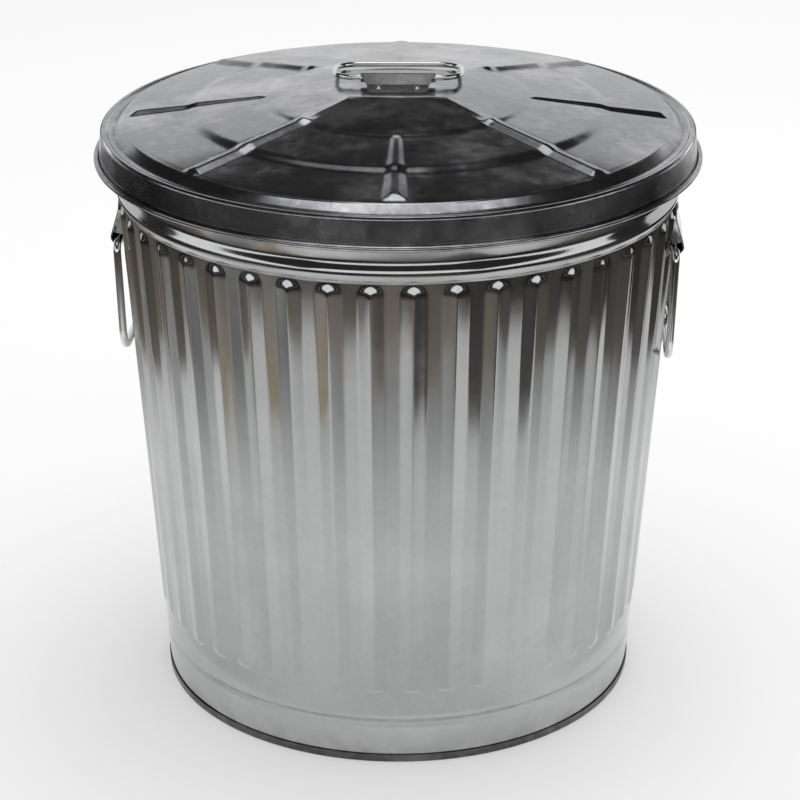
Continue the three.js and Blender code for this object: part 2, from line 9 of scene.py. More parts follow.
import bpy
import numpy as np
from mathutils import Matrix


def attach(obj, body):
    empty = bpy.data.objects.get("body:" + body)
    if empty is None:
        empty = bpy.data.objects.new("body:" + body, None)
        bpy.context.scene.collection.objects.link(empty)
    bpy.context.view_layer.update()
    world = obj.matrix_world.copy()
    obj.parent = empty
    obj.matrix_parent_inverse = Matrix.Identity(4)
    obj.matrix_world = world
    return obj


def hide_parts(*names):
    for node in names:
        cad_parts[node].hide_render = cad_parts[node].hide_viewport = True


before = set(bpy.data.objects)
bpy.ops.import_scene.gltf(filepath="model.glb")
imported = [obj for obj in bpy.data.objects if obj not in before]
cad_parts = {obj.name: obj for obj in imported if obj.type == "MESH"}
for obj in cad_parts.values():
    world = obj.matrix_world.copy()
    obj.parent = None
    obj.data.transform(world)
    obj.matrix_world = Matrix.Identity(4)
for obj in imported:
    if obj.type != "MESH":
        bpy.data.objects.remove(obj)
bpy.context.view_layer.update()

# ---------------------------------------------------------------- driving sizes, in millimetres

MILLIMETRE = 0.001  # in Blender's metres
FULL_TURN = 2 * math.pi

SHEET = 0.6  # thickness of wall, pan and lid
GAP = 0.3  # between neighbouring pieces

# can wall
FOOT_RADIUS = 201.5
WALL_TAPER = 0.0625
WALL_START = 1.6
CAN_HEIGHT = 484.5
RIM_WIRE = 3.0
RIB_COUNT = 44
RIB_TURN = math.radians(-2.09)
RIB_SHARE = 0.65  # part of the pitch that a rib takes up
RIB_DEPTH_LOW = 1.3
RIB_DEPTH_GAIN = 0.0047
RIB_LOW = 66.0
RIB_HIGH = 427.0
EAR_RIB_HIGH = 377.0  # where the ribs below an ear stop
EAR_RIB_REACH = math.radians(8)
RIB_CROWN = 0.07  # rounding of a rib's ridge and of its feet, as shares of its half width
RIB_FOOT = 0.10
RIB_END_SLOPE = 0.42  # steepness of a rib's arched ends
GROOVE_START = 33.0
GROOVE_MIDDLE = 39.5
GROOVE_END = 41.5
GROOVE_DEPTH = 1.0
# dirt and painted shade in the folds round the wall: height, width and share
WALL_FOLDS = [(GROOVE_MIDDLE, 1.2, 0.4), (429.0, 1.5, 0.45), (447.5, 2.0, 0.3)]
# height, offset from the plain cone and slope of that offset, up the bead and the neck
NECK_LINE = [
    (428.2, 0.0, 0.0),
    (430.0, 0.5, 0.9),
    (437.0, 3.6, 0.0),
    (444.5, -0.2, -0.5),
    (448.5, -0.6, 0.06),
    (456.0, 0.4, 0.17),
    (467.0, 1.0, 0.0),
    (477.0, 0.0, 0.0),
]

# base
PAN_HEIGHT = 32.0
PAN_CORNER = 4.0
PAN_START = 2.2
HOOP_HEIGHT = 7.0
HOOP_SHEET = 0.8

# ears and side bails
EAR_SHEET = 1.2
EAR_WIDTH = 72.0
EAR_TOP_WIDTH = 54.0
EAR_TOP = 428.5
EAR_BEND = 418.0
EAR_TUBE = 6.2
EAR_LIP = 30.0
EAR_SIDE_SHEET = 1.0
EAR_SIDE_WALL_EDGE = 2.0  # how far the side's edge at the wall stands past the ear's end
EAR_SIDE_OUTER_EDGE = -4.0  # and its edge at the tube, which is drawn in
EAR_SIDE_DEPTH = 3.0  # behind the leaf, where the wall curves away from it
EAR_SIDE_LOW = 0.6  # its lower edge over the tube's middle and its reach past it, as shares of the tube
EAR_SIDE_REACH = 0.8
BAIL_WIRE = 3.15
BAIL_HINGE = 392.0
BAIL_WIDTH = 94.0
BAIL_DROP = 95.0
BAIL_TOP_CORNER = 9.0
BAIL_GRIP_CORNER = 20.0
BAIL_BUTT = 1.0
EAR_RIVET = 2.4
EAR_RIVET_SPREAD = 36.0
EAR_RIVET_HEIGHT = 423.5
RIVET_HEAD_FACTOR = 1.75
RIVET_HEAD = 1.5

# lid
LID_TURN = math.radians(2.4)
CURL_RADIUS = 249.79  # round, and so kept a little inside the 250 of the faceted solid
CURL_MIDDLE = 463.5
LID_WIRE = 1.55
LID_SHOULDER = 243.7
LID_SEAT_START = 232.3
LID_SEAT_END = 237.5
LID_BEAD = 1.3  # height of the bead, and how far across each of its flanks is
LID_BEAD_FLANK = 1.5
LID_FOLDS = [(LID_SEAT_START, 1.5, 0.5), (243.0, 1.5, 0.35)]  # radius, width and share of dirt and painted shade
# dirt and painted shade at the feet of the lid's ridge ribs: width of the bell and share
RIDGE_FOLD_WIDTH = 1.3
RIDGE_FOLD_SOIL_AND_SHADE = 0.7
PANEL_RADIUS = 225.0
PANEL_EDGE_RISE = 8.7
BOSS_HALF = 39.0
BOSS_RISE = 32.9
PANEL_SAG = 1.4
SAG_RADIUS = 108.0
PANEL_STEPS = [(104.0, 8.0, 0.7), (163.0, 12.0, 1.6)]  # start, width and drop
# start, end, depth, half width at the start and at the end, and share of it that is flat on top
RIDGE_RIB = (99.0, 225.0, 2.9, 9.0, 10.5, 0.1)
FACET_RIB = (106.0, 221.0, 2.6, 5.0, 12.0, 0.15)
RIB_RUN_OUT = 7.0
RIB_BEND = 0.18  # rounding of a lid rib's foot and of its top, as shares of its flank
RIB_ZONE = 14.0  # on each side of a lid rib's middle, where points lie closer
EIGHTH = math.pi / 4

# lid bracket and lid bail
BRACKET_SHEET = 1.2
LID_BAIL_WIRE = 2.25
LID_HINGE_BACK = -4.5
LID_HINGE_RISE = 6.3
BRACKET_TUBE_WIDTH = 61.0
BRACKET_PLATE_WIDTH = 50.0
BRACKET_FOOT_WIDTH = 40.0
BRACKET_FRONT = -30.5
BRACKET_BEND = -16.0
BRACKET_FOOT_RISE = 0.3
BRACKET_BAND_SLOPE = 0.16
BRACKET_CORNER = 5.0
BRACKET_CURL = 285.0
LID_RIVET = 1.7
LID_RIVET_SPREAD = 31.0
LID_RIVET_LINE = -23.0
LID_BAIL_WIDTH = 104.5
LID_BAIL_REACH = 61.5
LID_BAIL_CORNER = 21.0

# ---------------------------------------------------------------- derived places


def wall_middle(height):
    """Radius of the middle of the plain wall at a height."""
    return FOOT_RADIUS - SHEET / 2 + WALL_TAPER * height


RIM_CURL = RIM_WIRE + GAP + SHEET / 2
RIM_MIDDLE = CAN_HEIGHT - RIM_CURL - SHEET / 2
RIM_RADIUS = wall_middle(RIM_MIDDLE) + RIM_CURL
NESTED = SHEET + GAP

EAR_CURL = EAR_TUBE - EAR_SHEET / 2
HINGE_OUT = wall_middle(BAIL_HINGE) + SHEET / 2 + GAP + BAIL_WIRE
EAR_TUBE_HEIGHT = BAIL_HINGE + EAR_CURL - EAR_SHEET / 2 - BAIL_WIRE - GAP
EAR_TUBE_OUT = HINGE_OUT + 0.6
GRIP_HEIGHT = BAIL_HINGE - BAIL_DROP
RIB_CREST = wall_middle(GRIP_HEIGHT) + SHEET / 2 + RIB_DEPTH_LOW + RIB_DEPTH_GAIN * BAIL_HINGE
BAIL_LEAN = math.asin((HINGE_OUT - RIB_CREST - GAP - BAIL_WIRE) / BAIL_DROP)

LID_CURL = LID_WIRE + GAP + SHEET / 2
LID_CURL_MIDDLE = CURL_RADIUS - SHEET / 2 - LID_CURL
LID_SEAT = CAN_HEIGHT + GAP + SHEET / 2
BOSS_TOP = LID_SEAT + BOSS_RISE + SHEET / 2
BRACKET_TUBE = LID_BAIL_WIRE + GAP + BRACKET_SHEET / 2
LID_HINGE_HEIGHT = BOSS_TOP + LID_HINGE_RISE
FACET_SLOPE = (BOSS_RISE - PANEL_EDGE_RISE) / (PANEL_RADIUS - BOSS_HALF)
LID_BAIL_REST = BOSS_TOP - (LID_HINGE_BACK + LID_BAIL_REACH - BOSS_HALF) * FACET_SLOPE
LID_BAIL_BAR = LID_BAIL_REST + GAP + LID_BAIL_WIRE
LID_BAIL_TILT = math.asin((LID_HINGE_HEIGHT - LID_BAIL_BAR) / LID_BAIL_REACH)
BAND_TILT = math.atan(BRACKET_BAND_SLOPE)


def leaf_out(height):
    """Distance of the middle of an ear's leaf from the axis."""
    return wall_middle(height) + (SHEET + EAR_SHEET) / 2 + GAP


def band_middle(back):
    """Height of the middle of the bracket's riveted band, which rises towards the tube."""
    return BOSS_TOP + BRACKET_FOOT_RISE + BRACKET_SHEET / 2 + (back - BRACKET_FRONT) * BRACKET_BAND_SLOPE


# ---------------------------------------------------------------- finishes


RUST_TONE = (0.62, 0.63, 0.65, 1.0)  # of the dull, whitish patches
# near-black tone of dirt and of painted shade in the folds
SOIL_AND_SHADE_TONE = (0.055, 0.05, 0.045, 1.0)
# how far across the lumps of each unevenness are, in metres
PATCH_SIZE = 0.11
CLOUD_SIZE = 0.045
SOIL_AND_SHADE_SIZE = 0.02
SWELL_SIZE = 0.07
GRAIN_SIZE = 0.004
CRYSTAL_DRIFT = 0.012  # how far the crystals' edges wander, in metres


class Shading:
    """The nodes of one material or world, added from left to right."""

    def __init__(self, tree):
        self.tree = tree
        self.tree.nodes.clear()

    def add(self, kind, inputs=None, **settings):
        node = self.tree.nodes.new(kind)
        for name, value in settings.items():
            setattr(node, name, value)
        for name, value in (inputs or {}).items():
            if isinstance(value, bpy.types.NodeSocket):
                self.tree.links.new(value, node.inputs[name])
            else:
                node.inputs[name].default_value = value
        return node

    def math(self, operation, first, second=0.0, clamp=False):
        inputs = {0: first, 1: second}
        return self.add("ShaderNodeMath", inputs, operation=operation, use_clamp=clamp).outputs[0]

    def scaled(self, value, factor, offset):
        """value * factor + offset."""
        inputs = {0: value, 1: factor, 2: offset}
        return self.add("ShaderNodeMath", inputs, operation="MULTIPLY_ADD").outputs[0]

    def noise(self, place, size, detail=2.0, roughness=0.5):
        """Soft noise whose lumps are about size metres across."""
        inputs = {"Vector": place, "Scale": 1 / size, "Detail": detail, "Roughness": roughness}
        return self.add("ShaderNodeTexNoise", inputs).outputs["Fac"]

    def between(self, value, low, high):
        """0 below low, 1 above high, with soft ends."""
        inputs = {"Value": value, "From Min": low, "From Max": high}
        node = self.add("ShaderNodeMapRange", inputs, interpolation_type="SMOOTHSTEP")
        return node.outputs["Result"]

    def blend(self, share, first, second):
        inputs = {0: share, 6: first, 7: second}
        return self.add("ShaderNodeMix", inputs, data_type="RGBA").outputs[2]

    def bump(self, height, distance, below=None):
        inputs = {"Height": height, "Distance": distance, "Strength": 1.0}
        if below is not None:
            inputs["Normal"] = below
        return self.add("ShaderNodeBump", inputs).outputs["Normal"]


def zinc(name, pale, dark, roughness, spangle, mottle, clouding, swell, grain, stain):
    """Galvanized steel, between a pale and a dark tone.

    Crystals of the size given as spangle differ in tone by the share mottle, and soft clouds by
    the share clouding; swell is the depth of the slow unevenness of pressed sheet, grain that of
    its fine texture, and stain the share of dull, whitish patches. A point attribute darkens the
    folds and hollows: dirt, and painted shade. Lengths are metres.
    """
    material = bpy.data.materials.new(name)
    material.use_nodes = True
    shading = Shading(material.node_tree)
    place = shading.add("ShaderNodeTexCoord").outputs["Object"]
    drift = shading.add("ShaderNodeTexNoise", {"Vector": place, "Scale": 45.0, "Detail": 1.0})
    shifted = shading.add(
        "ShaderNodeVectorMath",
        {0: drift.outputs["Color"], 1: (CRYSTAL_DRIFT,) * 3, 2: place},
        operation="MULTIPLY_ADD",
    ).outputs[0]
    cells = shading.add("ShaderNodeTexVoronoi", {"Vector": shifted, "Scale": 1 / spangle})
    crystal = shading.add("ShaderNodeSeparateColor", {0: cells.outputs["Color"]})
    patches = shading.noise(place, PATCH_SIZE, 6.0, 0.62)
    smear = shading.between(patches, 0.44, 0.68)
    fine = shading.noise(place, GRAIN_SIZE, 3.0, 0.6)

    tone = shading.scaled(crystal.outputs[0], mottle, 0.5 - mottle / 2)
    tone = shading.math("ADD", tone, shading.scaled(smear, clouding, -clouding / 2), clamp=True)
    colour = shading.blend(tone, (*dark, 1.0), (*pale, 1.0))
    clouds = shading.noise(place, CLOUD_SIZE, 5.0, 0.65)
    whitish = shading.math("MULTIPLY", shading.between(clouds, 0.5, 0.72), stain)
    colour = shading.blend(whitish, colour, RUST_TONE)
    # dirt, and painted shade in folds and hollows, darken the colour from a point attribute
    soil_and_shade = shading.add("ShaderNodeAttribute", attribute_name="grime_and_shade").outputs["Fac"]
    uneven = shading.between(shading.noise(place, SOIL_AND_SHADE_SIZE, 4.0, 0.6), 0.25, 0.65)
    soil_and_shade = shading.math("MULTIPLY", soil_and_shade, uneven, clamp=True)
    colour = shading.blend(soil_and_shade, colour, SOIL_AND_SHADE_TONE)

    rough = shading.scaled(crystal.outputs[1], mottle * 0.08, roughness - mottle * 0.04)
    rough = shading.math("ADD", rough, shading.math("MULTIPLY", smear, 0.05))
    rough = shading.math("ADD", rough, shading.math("MULTIPLY", whitish, 0.25))
    rough = shading.math("ADD", rough, shading.math("MULTIPLY", soil_and_shade, 0.25), clamp=True)

    slow = shading.noise(place, SWELL_SIZE, 1.0, 0.4)
    normal = shading.bump(slow, swell)
    normal = shading.bump(fine, grain, normal)
    surface = shading.add(
        "ShaderNodeBsdfPrincipled",
        {"Base Color": colour, "Roughness": rough, "Normal": normal, "Metallic": 1.0},
    )
    shading.add("ShaderNodeOutputMaterial", {"Surface": surface.outputs[0]})
    return material


wall_zinc = zinc(
    "wall_zinc",
    pale=(0.57, 0.575, 0.575),
    dark=(0.46, 0.465, 0.465),
    roughness=0.10,
    spangle=0.005,
    mottle=0.18,
    clouding=0.5,
    swell=2.2e-4,
    grain=3e-6,
    stain=0.08,
)
lid_zinc = zinc(
    "lid_zinc",
    pale=(0.60, 0.60, 0.62),
    dark=(0.31, 0.315, 0.33),
    roughness=0.14,
    spangle=0.007,
    mottle=0.3,
    clouding=1.0,
    swell=5e-4,
    grain=5e-6,
    stain=0.3,
)
# the hoop's zinc, dark both as oxidised zinc and as painted shade for the floor's shadow that its face
# mirrors
hoop_zinc_painted_shade = zinc(
    "hoop_zinc_painted_shade",
    pale=(0.24, 0.24, 0.24),
    dark=(0.10, 0.10, 0.10),
    roughness=0.28,
    spangle=0.005,
    mottle=0.4,
    clouding=0.6,
    swell=1e-4,
    grain=1e-5,
    stain=0.0,
)
fitting_zinc = zinc(
    "fitting_zinc",
    pale=(0.66, 0.67, 0.68),
    dark=(0.54, 0.55, 0.55),
    roughness=0.13,
    spangle=0.004,
    mottle=0.3,
    clouding=0.4,
    swell=1e-4,
    grain=5e-6,
    stain=0.1,
)
bracket_zinc = zinc(
    "bracket_zinc",
    pale=(0.34, 0.34, 0.34),
    dark=(0.20, 0.20, 0.20),
    roughness=0.38,
    spangle=0.003,
    mottle=0.6,
    clouding=0.5,
    swell=5e-5,
    grain=1.5e-5,
    stain=0.12,
)
wire_zinc = zinc(
    "wire_zinc",
    pale=(0.85, 0.86, 0.85),
    dark=(0.74, 0.75, 0.74),
    roughness=0.13,
    spangle=0.003,
    mottle=0.2,
    clouding=0.3,
    swell=5e-5,
    grain=4e-6,
    stain=0.05,
)

# ---------------------------------------------------------------- surfaces

SHARP_EDGE = math.radians(42)  # two faces that meet at more than this show an edge


def ramp(value, start, end):
    """Share of the way from start to end, held between 0 and 1."""
    return np.clip((value - start) / (end - start), 0.0, 1.0)


def eased(share):
    """A share with soft ends, 3 s^2 - 2 s^3."""
    return share * share * (3 - 2 * share)


def bell(value, middle, width):
    """A bell that is 1 at the middle: exp(-((value - middle) / width)^2)."""
    return np.exp(-(((value - middle) / width) ** 2))


def rounded(share, bend):
    """A share that climbs at one slope between two bends, each as long as bend."""
    foot = share**2 / (2 * bend)
    crown = 1 - bend - (1 - share) ** 2 / (2 * bend)
    climb = np.where(share < bend, foot, np.where(share > 1 - bend, crown, share - bend / 2))
    return climb / (1 - bend)


def arc(across, up, radius, start, end, steps):
    """Points on an arc round (across, up), between two angles in degrees."""
    angle = np.radians(np.linspace(start, end, steps + 1))
    return np.column_stack([across + radius * np.cos(angle), up + radius * np.sin(angle)])


def softened(corners, cut, steps=5):
    """A line through corners in which each inner corner is rounded.

    Each corner gives way to the parabola between the two points that lie the length cut before
    and after it, or half of the shorter neighbouring stretch if that is less.
    """
    corners = np.asarray(corners, float)
    stretch = np.linalg.norm(np.diff(corners, axis=0), axis=1)
    way = np.diff(corners, axis=0) / stretch[:, None]
    share = np.linspace(0, 1, steps + 1)[:, None]
    parts = [corners[:1]]
    for index in range(1, len(corners) - 1):
        reach = min(cut, stretch[index - 1] / 2, stretch[index] / 2)
        before = corners[index] - way[index - 1] * reach
        after = corners[index] + way[index] * reach
        bend = (1 - share) ** 2 * before + 2 * share * (1 - share) * corners[index] + share**2 * after
        parts.append(bend)
    parts.append(corners[-1:])
    return np.vstack(parts)


def right_of(line):
    """Mitred normals on the right of a flat line, long enough to keep an offset line's distance.

    Neighbouring points have to differ: where two coincide, their normals aren't numbers.
    """
    way = np.diff(line, axis=0)
    way /= np.linalg.norm(way, axis=1)[:, None]
    arriving = np.vstack([way[:1], way])
    leaving = np.vstack([way, way[-1:]])
    along = arriving + leaving
    along /= np.linalg.norm(along, axis=1)[:, None]
    lengthening = 1 / np.sum(along * leaving, axis=1)
    return np.column_stack([along[:, 1], -along[:, 0]]) * lengthening[:, None]


def surface_points(radius, azimuth, height):
    """Points at a radius and an azimuth round the Z axis, at a height."""
    return np.stack(np.broadcast_arrays(radius * np.cos(azimuth), radius * np.sin(azimuth), height), -1)


def volume_of(points, triangles):
    """Signed volume inside triangles: a sixth of the sum of each one's corners' triple product."""
    first, second, third = (points[triangles[:, k]] for k in range(3))
    return np.einsum("ij,ij->", first, np.cross(second, third)) / 6


def skin(name, rows, material, closed=False, grime_and_shade=0.0):
    """An object whose surface runs through rows of points, rows[i, k] in millimetres.

    Place i runs along a profile and k round it. k closes on itself, and so does i where closed is
    set; otherwise a fan of triangles to the middle of the first and of the last row shuts each end.
    """
    count, around = rows.shape[:2]
    points = rows.reshape(-1, 3)
    i = np.arange(count if closed else count - 1)[:, None]
    k = np.arange(around)[None, :]
    following, beside = (i + 1) % count, (k + 1) % around
    corners = [i * around + k, i * around + beside, following * around + beside, following * around + k]
    quads = np.stack(corners, -1).reshape(-1, 4)
    fans = np.empty((0, 3), int)
    soil_and_shade = np.asarray(grime_and_shade, float)
    soil_and_shade = np.broadcast_to(soil_and_shade if soil_and_shade.ndim == 2 else soil_and_shade.reshape(-1, 1), (count, around)).ravel()
    if not closed:
        k, beside = k[0], beside[0]
        first = np.full(around, len(points))
        last = (count - 1) * around
        start_fan = np.column_stack([first, beside, k])
        end_fan = np.column_stack([first + 1, last + k, last + beside])
        fans = np.vstack([start_fan, end_fan])
        points = np.vstack([points, rows[0].mean(0), rows[-1].mean(0)])
        soil_and_shade = np.append(soil_and_shade, [soil_and_shade[0], soil_and_shade[-1]])
    if volume_of(points, np.vstack([quads[:, :3], quads[:, [0, 2, 3]], fans])) < 0:
        quads, fans = quads[:, ::-1], fans[:, ::-1]
    mesh = bpy.data.meshes.new(name)
    loops = np.concatenate([quads.ravel(), fans.ravel()])
    starts = np.concatenate([np.arange(len(quads)) * 4, len(quads) * 4 + np.arange(len(fans)) * 3])
    mesh.vertices.add(len(points))
    mesh.vertices.foreach_set("co", (points * MILLIMETRE).ravel())
    mesh.loops.add(len(loops))
    mesh.loops.foreach_set("vertex_index", loops)
    mesh.polygons.add(len(starts))
    mesh.polygons.foreach_set("loop_start", starts)
    mesh.update(calc_edges=True)
    mesh.polygons.foreach_set("use_smooth", np.ones(len(starts), bool))
    mesh.set_sharp_from_angle(angle=SHARP_EDGE)
    # each point's share of dirt and of painted shade, by which the zinc is darkened
    mesh.attributes.new("grime_and_shade", "FLOAT", "POINT").data.foreach_set("value", soil_and_shade)
    mesh.materials.append(material)
    thing = bpy.data.objects.new(name, mesh)
    bpy.context.scene.collection.objects.link(thing)
    return thing


def fitted(node, body, rows, material, closed=False, grime_and_shade=0.0):
    """A skin that stands for a solid of the can, and moves with one of its bodies."""
    thing = skin(f"{node}_surface", rows, material, closed, grime_and_shade)
    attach(thing, body)
    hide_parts(node)
    return thing


# ---------------------------------------------------------------- can wall


def neck_offset(height):
    """How far the bead and the neck stand off the plain cone: cubic pieces between NECK_LINE's knots."""
    heights, offsets, slopes = np.array(NECK_LINE).T
    piece = np.clip(np.searchsorted(heights, height) - 1, 0, len(heights) - 2)
    span = heights[piece + 1] - heights[piece]
    share = np.clip((height - heights[piece]) / span, 0, 1)
    rise = eased(share)
    leaving = share * (1 - share) ** 2 * slopes[piece] * span
    arriving = share**2 * (share - 1) * slopes[piece + 1] * span
    return offsets[piece] * (1 - rise) + offsets[piece + 1] * rise + leaving + arriving


def groove_offset(height):
    """The shallow groove over the base pan: a slow slope in, and a quick one out above it."""
    inwards = eased(ramp(height, GROOVE_START, GROOVE_MIDDLE))
    outwards = 1 - eased(ramp(height, GROOVE_MIDDLE, GROOVE_END))
    return -GROOVE_DEPTH * inwards * outwards


def rib_rise(azimuth, height):
    """Height of the ribs over the plain wall.

    Each rib is a tent over its pitch. Its ends are arches, half circles as wide as the rib, over
    which the surface climbs at the end slope until it meets the tent. Ridge and feet are rounded.
    """
    pitch = FULL_TURN / RIB_COUNT
    half = pitch * RIB_SHARE / 2
    middle = RIB_TURN + np.round((azimuth - RIB_TURN) / pitch) * pitch
    from_handles = np.abs(middle - np.round(middle / math.pi) * math.pi)
    top = np.where(from_handles < EAR_RIB_REACH, EAR_RIB_HIGH, RIB_HIGH)
    reach = half * wall_middle(height)
    depth = RIB_DEPTH_LOW + RIB_DEPTH_GAIN * height
    across = (azimuth - middle) / half
    beyond = np.maximum(np.maximum(height - (top - reach), RIB_LOW + reach - height), 0) / reach
    tent = 1 - np.sqrt(across**2 + RIB_CROWN**2)
    climb = (1 - np.sqrt(across**2 + beyond**2)) * reach * RIB_END_SLOPE / depth
    climb = np.where(beyond > 0, climb, np.inf)
    inside = np.minimum(tent, climb)
    return depth * (inside + np.sqrt(inside**2 + RIB_FOOT**2)) / 2


def wall_rows():
    """The wall, inside and outside, between its lower edge and the end of its rolled rim."""
    heights = np.concatenate(
        [
            [WALL_START, 20, 30, 33, 35, 37, 38.5, 39.5, 40.2, 41, 42, 45, 60, 64],
            [65.2, 66, 66.8, 67.6, 68.6, 70, 73, 77, 81],
            [130, 210, 300, 350],
            [366, 369, 371.5, 373.5, 374.6, 375.6, 376.4, 377.2, 378],
            [395, 410],
            [416, 419, 421, 422.5, 423.6, 424.5, 425.3, 426, 426.7, 427.4],
            [428.2, 429.2, 430, 431.2, 433, 435, 437, 439, 441, 443, 444.6, 446, 447.3, 448.6],
            [451, 454, 458, 463, 469, 474],
        ]
    )
    straight = wall_middle(heights) + groove_offset(heights) + neck_offset(heights)
    rim = arc(RIM_RADIUS, RIM_MIDDLE, RIM_CURL, 180, -90, 14)
    path = np.vstack([np.column_stack([straight, heights]), rim])
    shift = right_of(path) * SHEET / 2
    half = FULL_TURN / RIB_COUNT * RIB_SHARE / 2
    side = np.array([0.06, 0.16, 0.45, 0.75, 0.88, 0.97, 1.06, 1.2])
    places = np.concatenate([-side[::-1], [0], side, [1 / RIB_SHARE]]) * half
    middles = RIB_TURN + np.arange(RIB_COUNT) * FULL_TURN / RIB_COUNT
    azimuth = (middles[:, None] + places[None, :]).ravel()[None, :]
    height = path[:, 1:]
    ribs = np.where(height < NECK_LINE[0][0], rib_rise(azimuth, height), 0)
    outside = surface_points(path[:, :1] + shift[:, :1] + ribs, azimuth, height + shift[:, 1:])
    inside = surface_points(path[:, :1] - shift[:, :1] + ribs, azimuth, height - shift[:, 1:])
    kept = np.unique(np.append(np.arange(0, len(path), 2), len(path) - 1))
    rows = np.concatenate([outside, inside[kept[::-1]]])
    level = path[:, 1]
    # darker towards the foot and over the rolled rim, dirt and painted shade in the folds, and the inside
    # face darker than the outside
    soil_and_shade = 0.35 * (1 - ramp(level, 4, 26)) + 0.5 * ramp(level, 470, 478)
    for fold, width, amount in WALL_FOLDS:
        soil_and_shade += amount * bell(level, fold, width)
    return rows, np.concatenate([soil_and_shade, 0.25 + 0.5 * soil_and_shade[kept[::-1]]])


wall, wall_soil_and_shade = wall_rows()
fitted("can_wall", "can", wall, wall_zinc, closed=True, grime_and_shade=wall_soil_and_shade)

# ---------------------------------------------------------------- turned pieces

ROUND = np.linspace(0, FULL_TURN, 360, endpoint=False)[None, :]


def turned_rows(path, thickness):
    """Both faces of a sheet turned about the Z axis, out along one face and back along the other."""
    shift = right_of(path) * thickness / 2
    faces = np.vstack([path + shift, (path - shift)[::-1]])
    return surface_points(faces[:, :1], ROUND, faces[:, 1:])


def ring_rows(radius, height, wire):
    """A ring of round wire: a small circle carried round the Z axis."""
    circle = arc(radius, height, wire, 0, 360, 16)[:-1]
    return surface_points(circle[:, :1], ROUND, circle[:, 1:])


def pan_rows():
    """The raised base: flat, rounded at its edge, with a flange down the inside of the wall."""
    def inner(height):
        return wall_middle(height) - NESTED

    corner = inner(PAN_HEIGHT - PAN_CORNER) - PAN_CORNER
    flat = np.column_stack([[0.5, 60, 120, 170], np.full(4, PAN_HEIGHT)])
    bend = arc(corner, PAN_HEIGHT - PAN_CORNER, PAN_CORNER, 90, 0, 8)
    return turned_rows(np.vstack([flat, bend, [[inner(PAN_START), PAN_START]]]), SHEET)


def hoop_rows():
    """The foot's hoop: a sheet folded round the lower edges of wall and flange."""
    away = (SHEET + HOOP_SHEET) / 2 + GAP
    low = HOOP_SHEET / 2
    outside = [wall_middle(HOOP_HEIGHT) + away, wall_middle(low) + away]
    inside = [wall_middle(low) - NESTED - away, wall_middle(HOOP_HEIGHT) - NESTED - away]
    corners = [(outside[0], HOOP_HEIGHT), (outside[1], low), (inside[0], low), (inside[1], HOOP_HEIGHT)]
    return turned_rows(softened(corners, 0.9, 6), HOOP_SHEET)


fitted("base_pan", "can", pan_rows(), wall_zinc, grime_and_shade=0.3)
fitted("base_hoop", "can", hoop_rows(), hoop_zinc_painted_shade, closed=True, grime_and_shade=0.35)
fitted("rim_wire", "can", ring_rows(RIM_RADIUS, RIM_MIDDLE, RIM_WIRE), wire_zinc, True, 0.3)

# ---------------------------------------------------------------- bent strips, wires and rivets


def strip_rows(line, half_width, thickness, place):
    """A strip along a flat line, with half-round side edges.

    Across the line stands a flat oval of the strip's width there; place turns the line's two
    coordinates and the distance from its middle into a point.
    """
    normal = right_of(line)
    edge = np.radians(np.linspace(-90, 90, 7))
    round_edge = np.concatenate([edge, edge + math.pi])
    side = np.repeat([1, -1], len(edge))
    across = side * (half_width[:, None] - thickness / 2) + thickness / 2 * np.cos(round_edge)
    lift = thickness / 2 * np.sin(round_edge)[None, :]
    first = line[:, :1] + normal[:, :1] * lift
    second = line[:, 1:] + normal[:, 1:] * lift
    return place(first, second, across)


def wire_loop(width, reach, top_corner, far_corner):
    """The middle line of a loop of wire, from one butt end round to the other.

    x is across the loop and y the way to its far bar; both ends are in the middle of the near bar.
    """
    half = width / 2
    far = reach - far_corner
    parts = [
        [(BAIL_BUTT / 2, 0)],
        arc(half - top_corner, top_corner, top_corner, -90, 0, 10),
        arc(half - far_corner, far, far_corner, 0, 90, 14),
        arc(far_corner - half, far, far_corner, 90, 180, 14),
        arc(top_corner - half, top_corner, top_corner, 180, 270, 10),
        [(-BAIL_BUTT / 2, 0)],
    ]
    return np.vstack(parts)


def wire_rows(line, radius, origin, across, along):
    """Round wire along a flat line laid from origin along two directions square to each other."""
    turn = np.linspace(0, FULL_TURN, 24, endpoint=False)
    normal = right_of(line)
    flat = line[:, None, :] + radius * np.cos(turn)[None, :, None] * normal[:, None, :]
    out = radius * np.sin(turn)[None, :, None] * np.cross(across, along)
    return np.asarray(origin) + flat[..., :1] * across + flat[..., 1:] * along + out


def rivet_rows(radius, grip, upset, seat, axis):
    """A rivet: half an ellipse for its head on the seat, a round shank, and an upset end."""
    head = radius * RIVET_HEAD_FACTOR
    quarter = np.linspace(0.06, math.pi / 2, 9)
    dome = np.column_stack([head * np.sin(quarter), RIVET_HEAD * np.cos(quarter)])
    below = [(radius, 0), (radius, -grip), (head, -grip), (head * 0.7, -grip - upset)]
    profile = np.vstack([dome, below, [[0.2, -grip - upset]]])
    axis = np.asarray(axis, float)
    level = np.cross(axis, [0, 1, 0] if abs(axis[1]) < 0.9 else [1, 0, 0])
    level /= np.linalg.norm(level)
    turn = np.linspace(0, FULL_TURN, 32, endpoint=False)[None, :, None]
    around = np.cos(turn) * level + np.sin(turn) * np.cross(axis, level)
    return np.asarray(seat) + profile[:, :1, None] * around + profile[:, 1:, None] * axis


def touch_angle(start, centre, radius):
    """Where the line from a point touches a circle that it passes on its left, in degrees."""
    away = np.subtract(start, centre)
    return math.degrees(math.atan2(away[1], away[0]) - math.acos(radius / np.hypot(*away)))


# ---------------------------------------------------------------- ears and side bails


